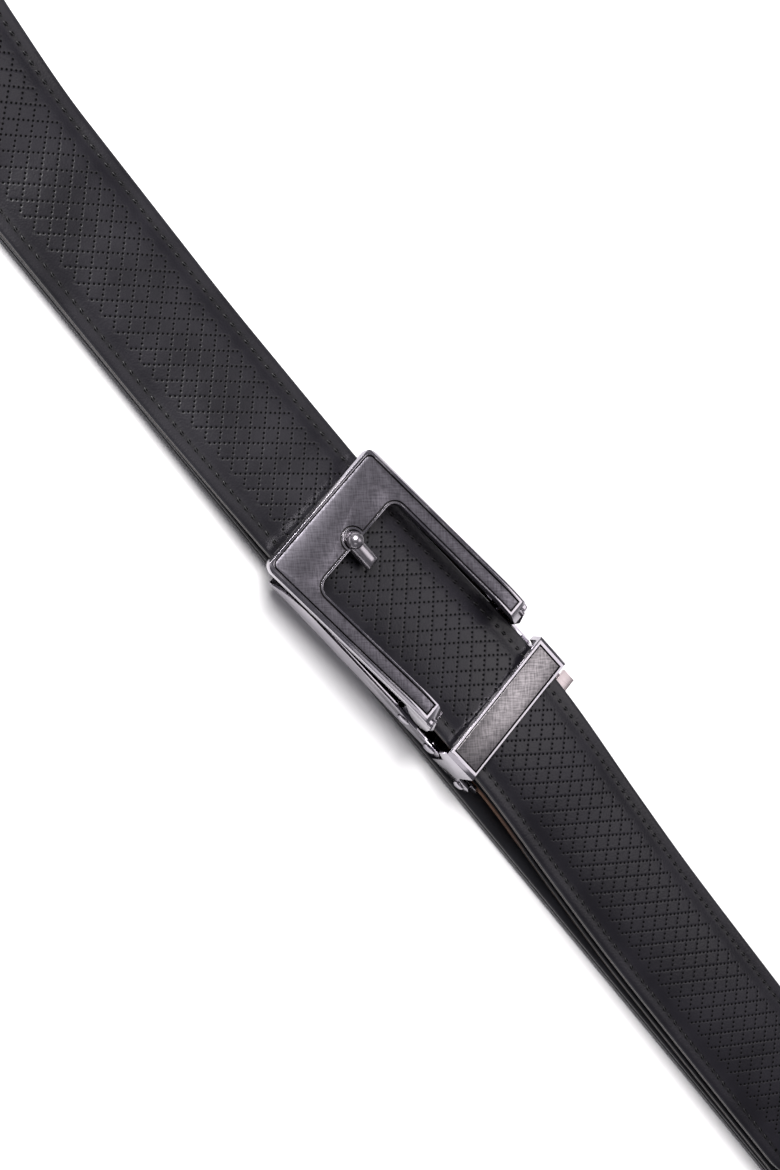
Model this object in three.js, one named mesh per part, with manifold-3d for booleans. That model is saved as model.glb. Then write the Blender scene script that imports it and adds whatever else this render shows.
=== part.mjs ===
// A men's ratchet belt, fastened and laid down as a flattened loop with its buckle face up.
// Millimetres, +Z up, the surface that it lies on at z = 0, +X along the strap towards its tip.
import * as THREE from 'three';
import Module from 'manifold-3d';

const wasm = await Module();
wasm.setup();

// Strap: a lining under a padded face, 35 mm nominal.
const STRAP_HALF_WIDTH = 17.2;
const LINING_THICK = 1.0;
const PLY_GAP = 0.2;
const EDGE_THICK = 1.0;
const CROWN = 1.0;
const LAYER_GAP = 0.3;
const STRAP_THICK = LINING_THICK + PLY_GAP + EDGE_THICK + CROWN;
const FACE_FROM = LINING_THICK + PLY_GAP;
const LOOP_LEFT = -205;
const LOOP_RIGHT = 255;
const BEND_RADIUS = 6.5;
const TIP_X = 208;

// Buckle: its own axes run along the frame, with x = 0 at the frame's closed edge.
const BUCKLE_TURN = THREE.MathUtils.degToRad(4.4);
const BUCKLE_MIDDLE = 42;
const FRAME_PITCH = THREE.MathUtils.degToRad(8.66);
const FRAME_HALF_WIDTH = 19.9;
const FRAME_LENGTH = 55.5;
const FRAME_THICK = 2.2;
const FRAME_TOP = 15.0;
const FRAME_CORNER = 2.4;
const BEVEL_OUT = 0.65;
const BEVEL_DEEP = 0.4;
const LEG_WIDTH = 4.75;
const CLOSED_SIDE = 13.0;
const OPENING_CORNER = 3.0;
const RIM = 0.6;
const LIP = 0.5;
const GROOVE = 0.4;
const RECESS = 0.6;
const INLAY_THICK = 0.45;
const NOTCH_RADIUS = 2.6;
const NOTCH_X = 11.9;

const SHEET = 0.8;
const FLANGE_OUT = 19.6;
const EAR_OUT = 18.65;
const EAR_THICK = 0.7;
const BASE_BOTTOM = STRAP_THICK + 0.6;
const BASE_START = 6.8;
const FLANGE_TOP = 11.0;

const AXLE_RADIUS = 1.1;
const AXLE_PLAY = 0.05;
const FRAME_AXLE = { x: FRAME_LENGTH + 1.4, z: 7.6 };
const KEEPER_AXLE = { x: FRAME_AXLE.x + 11.1, z: 6.6 };
const CLAMP_PIN = { x: KEEPER_AXLE.x + 13.8, z: 5.0 };
const BASE_END = KEEPER_AXLE.x + 3.2;
const HEAD_RADIUS = 1.9;
const HEAD_HIGH = 0.7;

const KEEPER_START = KEEPER_AXLE.x + 0.4;
const KEEPER_END = KEEPER_START + 10.2;
const KEEPER_TOP = 16.6;
const KEEPER_OUT = 20.1;
const WIDE = 1.5 * KEEPER_OUT;
const KEEPER_RIM_HALF = 19.1;
const KEEPER_ROOF = 1.3;
const KEEPER_BOTTOM = 4.4;
const TONGUE_BOTTOM = 3.5;
const TONGUE_END = CLAMP_PIN.x + 2.6;
const TONGUE_TOP = 8.3;
const CLAMP_END = CLAMP_PIN.x + 4.8;

const TAB_START = CLAMP_PIN.x + 0.8;
const TAB_END = CLAMP_PIN.x + 4.9;
const TAB_OUT = 21.2;
const LEVER_BOTTOM = 9.0;
const LEVER_THICK = 0.8;
const LEVER_PIVOT = { y: 18.1, z: LEVER_BOTTOM + LEVER_THICK / 2 };
const TRUNNION_RADIUS = 0.4;

const TRACK_HALF_WIDTH = 4;
const TRACK_START = -1;
const TRACK_END = TIP_X - 12;
const TRACK_THICK = 0.6;
const TOOTH_DEEP = 0.6;
const TOOTH_PITCH = 6;

const black = { color: 0x232227, roughness: 0.55, metalness: 0.0 };
const gunmetal = { color: 0x77737c, roughness: 0.28, metalness: 1.0 };
const MATERIALS = {
  face: new THREE.MeshStandardMaterial(black),
  lining: new THREE.MeshStandardMaterial({ color: 0x3a241b, roughness: 0.75, metalness: 0.0 }),
  track: new THREE.MeshStandardMaterial({ color: 0x17171a, roughness: 0.5, metalness: 0.0 }),
  metal: new THREE.MeshStandardMaterial(gunmetal),
  inlay: new THREE.MeshStandardMaterial({ color: 0x5d5862, roughness: 0.42, metalness: 1.0 }),
  bright: new THREE.MeshStandardMaterial({ color: 0xb9b1b6, roughness: 0.15, metalness: 1.0 }),
};

// A smooth curve through a table's rows that never overshoots them.
function curve(rows, key, value) {
  const slope = rows.map(() => 0);
  for (let i = 1; i < rows.length - 1; i += 1) {
    const before = (rows[i][value] - rows[i - 1][value]) / (rows[i][key] - rows[i - 1][key]);
    const after = (rows[i + 1][value] - rows[i][value]) / (rows[i + 1][key] - rows[i][key]);
    slope[i] = before * after > 0 ? (2 * before * after) / (before + after) : 0;
  }
  return (at) => {
    let i = 0;
    while (i < rows.length - 2 && at > rows[i + 1][key]) i += 1;
    const span = rows[i + 1][key] - rows[i][key];
    const t = THREE.MathUtils.clamp((at - rows[i][key]) / span, 0, 1);
    const rise = rows[i + 1][value] - rows[i][value];
    const shape = t * t * (3 - 2 * t);
    const lead = span * t * (1 - t) * (slope[i] * (1 - t) - slope[i + 1] * t);
    return rows[i][value] + rise * shape + lead;
  };
}

// A buckle station on the strap's own axis, and where the strap is down on the layers below.
const alongBuckle = (x) => x - BUCKLE_MIDDLE;
const TAIL_SETTLE = 45;
const TAIL_LANDS = CLAMP_END + 33.4 + TAIL_SETTLE;
const CLAMPED_LANDS = CLAMP_END + 35.4;
const BEND_LEAD = 58;
const RESTING = STRAP_THICK + LAYER_GAP;
const BEND_TOP = STRAP_THICK + 2 * BEND_RADIUS;
const TAIL_RESTING = RESTING + STRAP_THICK + LAYER_GAP + TRACK_THICK + TOOTH_DEEP + 0.1;
const IN_KEEPER = KEEPER_TOP - KEEPER_ROOF - 0.4 - STRAP_THICK;

// Height of the lining's inner side where the strap comes in, crosses the buckle and lies as the tail.
const upperHeight = curve([
  { x: LOOP_LEFT, z: BEND_TOP },
  { x: LOOP_LEFT + 28, z: RESTING + 4.5 },
  { x: LOOP_LEFT + BEND_LEAD, z: RESTING },
  { x: alongBuckle(-58), z: RESTING },
  { x: alongBuckle(-22), z: RESTING + 1.9 },
  { x: alongBuckle(0), z: RESTING + 3.6 },
  { x: alongBuckle(20), z: RESTING + 5.0 },
  { x: alongBuckle(45), z: IN_KEEPER - 1.4 },
  { x: alongBuckle(KEEPER_START), z: IN_KEEPER },
  { x: alongBuckle(KEEPER_END + 3), z: IN_KEEPER },
  { x: alongBuckle(TAIL_LANDS - TAIL_SETTLE), z: TAIL_RESTING + 1.2 },
  { x: alongBuckle(TAIL_LANDS), z: TAIL_RESTING },
  { x: TIP_X, z: TAIL_RESTING },
], 'x', 'z');

// Height of the clamped end, which leaves the clamp and goes out to the right bend.
const CLAMP_FLOOR = BASE_BOTTOM + SHEET + 0.1;
const CLAMPED = CLAMP_FLOOR + 0.5;
const clampedHeight = curve([
  { x: alongBuckle(72), z: CLAMPED },
  { x: alongBuckle(CLAMP_END + 2), z: CLAMPED },
  { x: alongBuckle(CLAMPED_LANDS), z: RESTING },
  { x: LOOP_RIGHT - BEND_LEAD, z: RESTING },
  { x: LOOP_RIGHT - 28, z: RESTING + 4.5 },
  { x: LOOP_RIGHT, z: BEND_TOP },
], 'x', 'z');

// Sideways place: the strap jogs a little inside the buckle, which sits turned on it.
const INCOMING_Y = -2.1;
const OUTGOING_Y = 2.0;
const TAIL_Y = 0.2;
const sideways = curve([
  { x: alongBuckle(-4), y: INCOMING_Y },
  { x: alongBuckle(12), y: INCOMING_Y + 0.35 },
  { x: alongBuckle(72), y: OUTGOING_Y - 0.15 },
  { x: alongBuckle(84), y: OUTGOING_Y },
  { x: alongBuckle(150), y: TAIL_Y + 0.5 },
  { x: TIP_X, y: TAIL_Y },
], 'x', 'y');
const clampedSideways = curve([
  { x: alongBuckle(72), y: OUTGOING_Y + 0.3 },
  { x: alongBuckle(90), y: OUTGOING_Y + 0.8 },
  { x: alongBuckle(160), y: TAIL_Y + 0.5 },
  { x: LOOP_RIGHT, y: TAIL_Y },
], 'x', 'y');
const underSideways = curve([
  { x: LOOP_LEFT, y: INCOMING_Y },
  { x: LOOP_RIGHT, y: TAIL_Y },
], 'x', 'y');

// Stations along the strap: a point on the lining's inner side and the way that its face looks.
function run(from, to, step, height, side) {
  const count = Math.max(1, Math.round(Math.abs(to - from) / step));
  const stations = [];
  for (let i = 0; i <= count; i += 1) {
    const x = from + ((to - from) * i) / count;
    const rise = (height(x + 0.1) - height(x - 0.1)) / 0.2;
    const out = new THREE.Vector3(-rise, 0, 1).normalize();
    stations.push({ point: new THREE.Vector3(x, side(x), height(x)), out });
  }
  return stations;
}

function bend(centreX, y, fromAngle, toAngle, steps) {
  const stations = [];
  for (let i = 1; i < steps; i += 1) {
    const angle = THREE.MathUtils.degToRad(fromAngle + ((toAngle - fromAngle) * i) / steps);
    const out = new THREE.Vector3(Math.cos(angle), 0, Math.sin(angle));
    const centre = new THREE.Vector3(centreX, y, STRAP_THICK + BEND_RADIUS);
    stations.push({ point: centre.addScaledVector(out, BEND_RADIUS), out });
  }
  return stations;
}

function underRun() {
  const stations = [];
  const xs = [LOOP_RIGHT, 150, 60, 0, -60, -150, LOOP_LEFT];
  for (const x of xs) {
    const point = new THREE.Vector3(x, underSideways(x), STRAP_THICK);
    stations.push({ point, out: new THREE.Vector3(0, 0, -1) });
  }
  return stations;
}

const BEND_STEPS = 12;
const CLAMPED_START = alongBuckle(BASE_END + 2.8);
const tailStart = alongBuckle(KEEPER_END);
const strapStations = [
  ...run(CLAMPED_START, alongBuckle(CLAMPED_LANDS), 6, clampedHeight, clampedSideways),
  ...run(alongBuckle(CLAMPED_LANDS), LOOP_RIGHT - BEND_LEAD, 30, clampedHeight, clampedSideways).slice(1),
  ...run(LOOP_RIGHT - BEND_LEAD, LOOP_RIGHT, 5, clampedHeight, clampedSideways).slice(1),
  ...bend(LOOP_RIGHT, TAIL_Y, 90, -90, BEND_STEPS),
  ...underRun(),
  ...bend(LOOP_LEFT, INCOMING_Y, -90, -270, BEND_STEPS),
  ...run(LOOP_LEFT, LOOP_LEFT + BEND_LEAD, 5, upperHeight, sideways),
  ...run(LOOP_LEFT + BEND_LEAD, alongBuckle(-58), 25, upperHeight, sideways).slice(1),
  ...run(alongBuckle(-58), tailStart, 5, upperHeight, sideways).slice(1),
  ...run(tailStart, alongBuckle(TAIL_LANDS), 8, upperHeight, sideways).slice(1),
  ...run(alongBuckle(TAIL_LANDS), TIP_X, 6, upperHeight, sideways).slice(1),
];

// The tip narrows to a rounded point over its last stretch.
const TIP_LENGTH = 22;
const TIP_END_SHARE = 0.3;
function tipShare(station) {
  const left = TIP_X - station.point.x;
  const onTail = station.out.z > 0 && station.point.z > RESTING + STRAP_THICK;
  if (!onTail || left > TIP_LENGTH || station.point.x > TIP_X + 0.1) return 1;
  const t = THREE.MathUtils.clamp(1 - left / TIP_LENGTH, 0, 1);
  return 1 - (1 - TIP_END_SHARE) * t * t;
}

// A closed solid from one section per station; across is +Y and out is the face's way.
function sweep(stations, sectionAt) {
  const positions = [];
  const index = [];
  const first = sectionAt(stations[0], 0);
  const size = first.length;
  stations.forEach((station, i) => {
    for (const { u, w } of sectionAt(station, i)) {
      const corner = station.point.clone().addScaledVector(station.out, w);
      positions.push(corner.x, corner.y + u, corner.z);
    }
  });
  for (let i = 0; i < stations.length - 1; i += 1) {
    for (let k = 0; k < size; k += 1) {
      const a = i * size + k;
      const b = i * size + ((k + 1) % size);
      index.push(a, a + size, b, b, a + size, b + size);
    }
  }
  const flat = first.map(({ u, w }) => new THREE.Vector2(u, w));
  const last = (stations.length - 1) * size;
  for (const [a, b, c] of THREE.ShapeUtils.triangulateShape(flat, [])) {
    index.push(a, b, c);
    index.push(last + a, last + c, last + b);
  }
  const geometry = new THREE.BufferGeometry();
  geometry.setAttribute('position', new THREE.Float32BufferAttribute(positions, 3));
  geometry.setIndex(index);
  return facingOut(geometry);
}

function signedVolume(geometry) {
  const at = geometry.getAttribute('position');
  const index = geometry.getIndex();
  const [a, b, c] = [new THREE.Vector3(), new THREE.Vector3(), new THREE.Vector3()];
  let sum = 0;
  for (let i = 0; i < index.count; i += 3) {
    a.fromBufferAttribute(at, index.getX(i));
    b.fromBufferAttribute(at, index.getX(i + 1));
    c.fromBufferAttribute(at, index.getX(i + 2));
    sum += a.dot(b.cross(c)) / 6;
  }
  return sum;
}

function facingOut(geometry) {
  if (signedVolume(geometry) < 0) {
    const index = geometry.getIndex();
    for (let i = 0; i < index.count; i += 3) {
      const keep = index.getX(i + 1);
      index.setX(i + 1, index.getX(i + 2));
      index.setX(i + 2, keep);
    }
  }
  geometry.computeVertexNormals();
  return geometry;
}

// Half of the face's outer profile, from the edge to the flat middle of the padding.
const FACE_PROFILE = [
  { across: 1.0, rise: 0.0 },
  { across: 0.87, rise: 0.08 },
  { across: 0.79, rise: 0.02 },
  { across: 0.7, rise: 0.42 },
  { across: 0.55, rise: 0.8 },
  { across: 0.34, rise: 1.0 },
];

function faceSection(station) {
  const share = tipShare(station);
  const half = STRAP_HALF_WIDTH * share;
  const section = [{ u: -half, w: FACE_FROM }, { u: half, w: FACE_FROM }];
  const top = FACE_PROFILE.map(({ across, rise }) => ({
    u: half * across,
    w: FACE_FROM + EDGE_THICK + CROWN * rise,
  }));
  section.push(...top);
  section.push(...top.slice().reverse().map(({ u, w }) => ({ u: -u, w })));
  return section;
}

function liningSection(station) {
  const half = STRAP_HALF_WIDTH * tipShare(station) - 0.15;
  return [
    { u: -half, w: 0 },
    { u: half, w: 0 },
    { u: half, w: LINING_THICK },
    { u: -half, w: LINING_THICK },
  ];
}

// Ratchet track under the tail: a thin bar with saw teeth, each steep on the tip's side.
function trackSolid() {
  const stations = [];
  const depths = [];
  const teeth = Math.floor((TRACK_END - TRACK_START) / TOOTH_PITCH);
  for (let i = 0; i < teeth; i += 1) {
    const x = TRACK_START + i * TOOTH_PITCH;
    for (const { at, deep } of [{ at: 0.1, deep: 0 }, { at: 0.85, deep: TOOTH_DEEP }]) {
      stations.push(...run(x + at * TOOTH_PITCH, x + at * TOOTH_PITCH + 1, 10, upperHeight, sideways)
        .slice(0, 1));
      depths.push(deep);
    }
  }
  return sweep(stations, (station, i) => [
    { u: -TRACK_HALF_WIDTH, w: -0.1 - TRACK_THICK - depths[i] },
    { u: TRACK_HALF_WIDTH, w: -0.1 - TRACK_THICK - depths[i] },
    { u: TRACK_HALF_WIDTH, w: -0.1 },
    { u: -TRACK_HALF_WIDTH, w: -0.1 },
  ]);
}

// Solids are joined and cut as manifolds that keep only the vertex places.
function toManifold(geometry) {
  const at = geometry.getAttribute('position');
  const order = geometry.getIndex();
  const count = order ? order.count : at.count;
  const places = [];
  const seen = new Map();
  const triVerts = new Uint32Array(count);
  for (let i = 0; i < count; i += 1) {
    const k = order ? order.getX(i) : i;
    const place = [at.getX(k), at.getY(k), at.getZ(k)];
    const key = place.map((value) => Math.round(value * 1e5)).join();
    if (!seen.has(key)) {
      seen.set(key, seen.size);
      places.push(...place);
    }
    triVerts[i] = seen.get(key);
  }
  const kept = [];
  for (let i = 0; i < count; i += 3) {
    const [a, b, c] = [triVerts[i], triVerts[i + 1], triVerts[i + 2]];
    if (a !== b && b !== c && c !== a) kept.push(a, b, c);
  }
  return new wasm.Manifold(new wasm.Mesh({
    numProp: 3,
    vertProperties: Float32Array.from(places),
    triVerts: Uint32Array.from(kept),
  }));
}

function fromManifold(solid) {
  const mesh = solid.getMesh();
  const geometry = new THREE.BufferGeometry();
  geometry.setAttribute('position', new THREE.BufferAttribute(mesh.vertProperties, 3));
  geometry.setIndex(new THREE.BufferAttribute(mesh.triVerts, 1));
  const split = geometry.toNonIndexed();
  split.computeVertexNormals();
  return split;
}

const vector2s = (rows) => rows.map(([a, b]) => new THREE.Vector2(a, b));

function plate(shape, depth, basis, offset) {
  const geometry = new THREE.ExtrudeGeometry(shape, { depth, bevelEnabled: false, curveSegments: 6 });
  geometry.applyMatrix4(basis);
  geometry.translate(offset.x, offset.y, offset.z);
  return toManifold(geometry);
}

const UPRIGHT = new THREE.Matrix4().makeBasis(
  new THREE.Vector3(1, 0, 0),
  new THREE.Vector3(0, 0, 1),
  new THREE.Vector3(0, -1, 0),
);
const LENGTHWISE = new THREE.Matrix4().makeBasis(
  new THREE.Vector3(0, 1, 0),
  new THREE.Vector3(0, 0, 1),
  new THREE.Vector3(1, 0, 0),
);

// Prisms: a side view pushed across, an end view pushed along, a plan pushed up.
function acrossPrism(shape, lowY, highY) {
  return plate(shape, highY - lowY, UPRIGHT, new THREE.Vector3(0, highY, 0));
}
function alongPrism(shape, lowX, highX) {
  return plate(shape, highX - lowX, LENGTHWISE, new THREE.Vector3(lowX, 0, 0));
}
function upPrism(shape, lowZ, highZ) {
  return plate(shape, highZ - lowZ, new THREE.Matrix4(), new THREE.Vector3(0, 0, lowZ));
}
function box(low, high) {
  const size = new THREE.Vector3().subVectors(high, low);
  const geometry = new THREE.BoxGeometry(size.x, size.y, size.z);
  const middle = new THREE.Vector3().addVectors(low, high).multiplyScalar(0.5);
  geometry.translate(middle.x, middle.y, middle.z);
  return toManifold(geometry);
}
function rod(radius, lowY, highY, at, sides = 24) {
  const geometry = new THREE.CylinderGeometry(radius, radius, highY - lowY, sides);
  geometry.translate(at.x, (lowY + highY) / 2, at.z);
  return toManifold(geometry);
}
const v = (x, y, z) => new THREE.Vector3(x, y, z);
const polygon = (rows) => new THREE.Shape(vector2s(rows));

function roundedEnd(length, half, corner, inset) {
  const shape = new THREE.Shape();
  const low = inset;
  const side = half - inset;
  const radius = Math.max(0.2, corner - inset);
  shape.moveTo(length - inset, -side);
  shape.lineTo(length - inset, side);
  shape.lineTo(low + radius, side);
  shape.absarc(low + radius, side - radius, radius, Math.PI / 2, Math.PI, false);
  shape.lineTo(low, -side + radius);
  shape.absarc(low + radius, -side + radius, radius, Math.PI, 1.5 * Math.PI, false);
  shape.closePath();
  return shape;
}

// The opening runs out past the legs' ends, with a round bay for the prong's head.
function opening(outset, length) {
  const half = FRAME_HALF_WIDTH - LEG_WIDTH + outset;
  const start = CLOSED_SIDE - outset;
  const radius = OPENING_CORNER + outset;
  const bay = NOTCH_RADIUS + outset;
  const reach = Math.acos((start - NOTCH_X) / bay);
  const shape = new THREE.Shape();
  shape.moveTo(length, half);
  shape.lineTo(start + radius, half);
  shape.absarc(start + radius, half - radius, radius, Math.PI / 2, Math.PI, false);
  shape.absarc(NOTCH_X, 0, bay, reach, 2 * Math.PI - reach, false);
  shape.absarc(start + radius, -half + radius, radius, Math.PI, 1.5 * Math.PI, false);
  shape.lineTo(length, -half);
  shape.closePath();
  return shape;
}

// Frame parts are made flat with their top at z = 0 and then tilted up towards the hinge.
function tilt(solid) {
  const turned = solid.rotate([0, -THREE.MathUtils.radToDeg(FRAME_PITCH), 0]);
  return turned.translate([0, 0, FRAME_TOP]);
}
const frameTopAt = (x) => FRAME_TOP + x * Math.tan(FRAME_PITCH);

const TANG_HIGH = 0.5;
const END_SLOPE = 3.0;
function frameSolid() {
  const whole = FRAME_LENGTH + END_SLOPE;
  const outline = upPrism(roundedEnd(whole, FRAME_HALF_WIDTH, FRAME_CORNER, -BEVEL_OUT), -FRAME_THICK, 0);
  const sideView = acrossPrism(polygon([
    [-0.5, -FRAME_THICK],
    [whole, -FRAME_THICK],
    [FRAME_LENGTH, 0],
    [0, 0],
    [-0.5, -0.6],
  ]), -FRAME_HALF_WIDTH - 2, FRAME_HALF_WIDTH + 2);
  const outer = FRAME_HALF_WIDTH + BEVEL_OUT;
  const endView = alongPrism(polygon([
    [-outer, -FRAME_THICK],
    [outer, -FRAME_THICK],
    [outer, -BEVEL_DEEP],
    [FRAME_HALF_WIDTH, 0],
    [-FRAME_HALF_WIDTH, 0],
    [-outer, -BEVEL_DEEP],
  ]), -2, whole + 1);
  const hole = upPrism(opening(0, whole + 5), -FRAME_THICK - 1, 1);
  const recessOuter = upPrism(roundedEnd(FRAME_LENGTH, FRAME_HALF_WIDTH, FRAME_CORNER, RIM), -RECESS, 1);
  const recessInner = upPrism(opening(LIP, FRAME_LENGTH + 5), -RECESS - 1, 2);
  const tangSlot = box(v(5.7, -1.8, -FRAME_THICK - 1), v(NOTCH_X, 1.8, -FRAME_THICK + TANG_HIGH + 0.2));
  const flat = outline.intersect(sideView).intersect(endView)
    .subtract(hole)
    .subtract(recessOuter.subtract(recessInner))
    .subtract(tangSlot);
  const body = tilt(flat);
  const foot = footShape();
  const pivot = rod(AXLE_RADIUS + AXLE_PLAY, -FLANGE_OUT, FLANGE_OUT, FRAME_AXLE);
  return body
    .add(acrossPrism(foot, EAR_OUT - EAR_THICK, EAR_OUT))
    .add(acrossPrism(foot, -EAR_OUT, -EAR_OUT + EAR_THICK))
    .subtract(pivot);
}

// A foot hangs from each leg's end down to the hinge pin.
function footShape() {
  const shape = new THREE.Shape();
  const legUnder = (x) => frameTopAt(x) - FRAME_THICK;
  const turn = AXLE_RADIUS + 1.5;
  const back = FRAME_AXLE.x - 7.5;
  shape.moveTo(back, legUnder(back) + 1.2);
  shape.lineTo(back + 1.2, legUnder(back) - 2.4);
  shape.lineTo(back + 3.2, 12.6);
  shape.lineTo(FRAME_AXLE.x - turn, FRAME_AXLE.z);
  shape.absarc(FRAME_AXLE.x, FRAME_AXLE.z, turn, Math.PI, 2 * Math.PI, false);
  shape.lineTo(FRAME_AXLE.x + 4.9, 11.6);
  shape.lineTo(FRAME_AXLE.x + 4.3, 16.2);
  shape.lineTo(FRAME_AXLE.x + 1.1, legUnder(FRAME_AXLE.x + 1.1) + 1.2);
  shape.closePath();
  return shape;
}

function frameInlaySolid() {
  const inset = RIM + GROOVE;
  const low = -RECESS + 0.05;
  const whole = upPrism(roundedEnd(FRAME_LENGTH, FRAME_HALF_WIDTH, FRAME_CORNER, inset), low, low + INLAY_THICK);
  const inner = upPrism(opening(LIP + GROOVE, FRAME_LENGTH + 5), low - 1, low + INLAY_THICK + 1);
  return tilt(whole.subtract(inner));
}

// A short round-headed prong stands in the bay, fixed by a tang under the closed side.
const PRONG_END = 20.4;
const PRONG_HALF_WIDTH = 1.6;
const HEAD_BALL = 2.3;
function prongSolid() {
  const ball = new THREE.SphereGeometry(HEAD_BALL, 18, 12);
  ball.translate(NOTCH_X + 0.3, 0, 0.3);
  const side = new THREE.Shape();
  side.moveTo(NOTCH_X, -2.6);
  side.lineTo(PRONG_END, -3.9);
  side.lineTo(PRONG_END, -2.5);
  side.absarc(PRONG_END - 1.4, -2.5, 1.4, 0, Math.PI / 2, false);
  side.lineTo(NOTCH_X, 1.0);
  side.closePath();
  const bar = acrossPrism(side, -PRONG_HALF_WIDTH, PRONG_HALF_WIDTH);
  const crown = new THREE.Shape();
  crown.moveTo(-PRONG_HALF_WIDTH, -6);
  crown.lineTo(PRONG_HALF_WIDTH, -6);
  crown.lineTo(PRONG_HALF_WIDTH, -0.5);
  crown.absellipse(0, -0.5, PRONG_HALF_WIDTH, 1.3, 0, Math.PI, false);
  crown.closePath();
  const rounded = bar.intersect(alongPrism(crown, 0, PRONG_END + 1));
  const tang = box(v(6, -1.5, -FRAME_THICK - 0.1), v(NOTCH_X + 1, 1.5, -FRAME_THICK + TANG_HIGH));
  const neck = box(v(NOTCH_X - 0.6, -1.5, -FRAME_THICK - 0.1), v(NOTCH_X + 1.4, 1.5, -1));
  return tilt(toManifold(ball).add(rounded).add(tang).add(neck));
}

// Base: a sheet channel under the strap; its sides start low at a pointed tip.
function baseSolid() {
  const low = BASE_BOTTOM;
  const inner = FLANGE_OUT - SHEET;
  const channel = polygon([
    [-inner, FLANGE_TOP + 1],
    [-FLANGE_OUT, FLANGE_TOP + 1],
    [-FLANGE_OUT, low + 0.8],
    [-FLANGE_OUT + 0.8, low],
    [FLANGE_OUT - 0.8, low],
    [FLANGE_OUT, low + 0.8],
    [FLANGE_OUT, FLANGE_TOP + 1],
    [inner, FLANGE_TOP + 1],
    [inner, low + SHEET],
    [-inner, low + SHEET],
  ]);
  const side = new THREE.Shape();
  side.moveTo(BASE_START, low - 0.5);
  side.lineTo(BASE_START, low + SHEET);
  side.quadraticCurveTo(BASE_START + 4, FLANGE_TOP - 0.6, BASE_START + 12, FLANGE_TOP);
  side.lineTo(FRAME_AXLE.x - 6.9, FLANGE_TOP - 0.2);
  side.quadraticCurveTo(FRAME_AXLE.x - 3.9, FLANGE_TOP - 0.4, FRAME_AXLE.x - 1.9, FLANGE_TOP - 1.0);
  side.lineTo(FRAME_AXLE.x + 5.1, FLANGE_TOP - 1.6);
  side.lineTo(BASE_END - 1.6, KEEPER_AXLE.z + 2.6);
  side.quadraticCurveTo(BASE_END, KEEPER_AXLE.z + 1.8, BASE_END, KEEPER_AXLE.z);
  side.lineTo(BASE_END, low - 0.5);
  side.closePath();
  return alongPrism(channel, BASE_START, BASE_END)
    .intersect(acrossPrism(side, -WIDE, WIDE))
    .subtract(rod(AXLE_RADIUS + 0.02, -WIDE, WIDE, FRAME_AXLE))
    .subtract(rod(AXLE_RADIUS + 0.02, -WIDE, WIDE, KEEPER_AXLE));
}

// A pin right across with a domed head outside each flange.
function axleSolid(at) {
  const tip = FLANGE_OUT + 0.05;
  const profile = vector2s([
    [0, -HEAD_HIGH - tip],
    [HEAD_RADIUS * 0.6, -HEAD_HIGH - tip],
    [HEAD_RADIUS, -HEAD_HIGH * 0.4 - tip],
    [HEAD_RADIUS, -tip],
    [AXLE_RADIUS, -tip],
    [AXLE_RADIUS, tip],
    [HEAD_RADIUS, tip],
    [HEAD_RADIUS, tip + HEAD_HIGH * 0.4],
    [HEAD_RADIUS * 0.6, tip + HEAD_HIGH],
    [0, tip + HEAD_HIGH],
  ]);
  const geometry = new THREE.LatheGeometry(profile, 24);
  geometry.translate(at.x, 0, at.z);
  return toManifold(geometry);
}

// Short pins hold the clamp's flap between the keeper's tongues.
function clampPinSolid(side) {
  const inner = EAR_OUT - EAR_THICK;
  const tip = KEEPER_OUT + 0.05;
  const radius = AXLE_RADIUS - 0.2;
  const profile = vector2s([
    [0, inner],
    [radius, inner],
    [radius, tip],
    [HEAD_RADIUS * 0.85, tip],
    [HEAD_RADIUS * 0.85, tip + HEAD_HIGH * 0.4],
    [HEAD_RADIUS * 0.5, tip + HEAD_HIGH],
    [0, tip + HEAD_HIGH],
  ]);
  const geometry = new THREE.LatheGeometry(profile, 24);
  if (side < 0) geometry.rotateZ(Math.PI);
  geometry.translate(CLAMP_PIN.x, 0, CLAMP_PIN.z);
  return toManifold(geometry);
}

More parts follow.
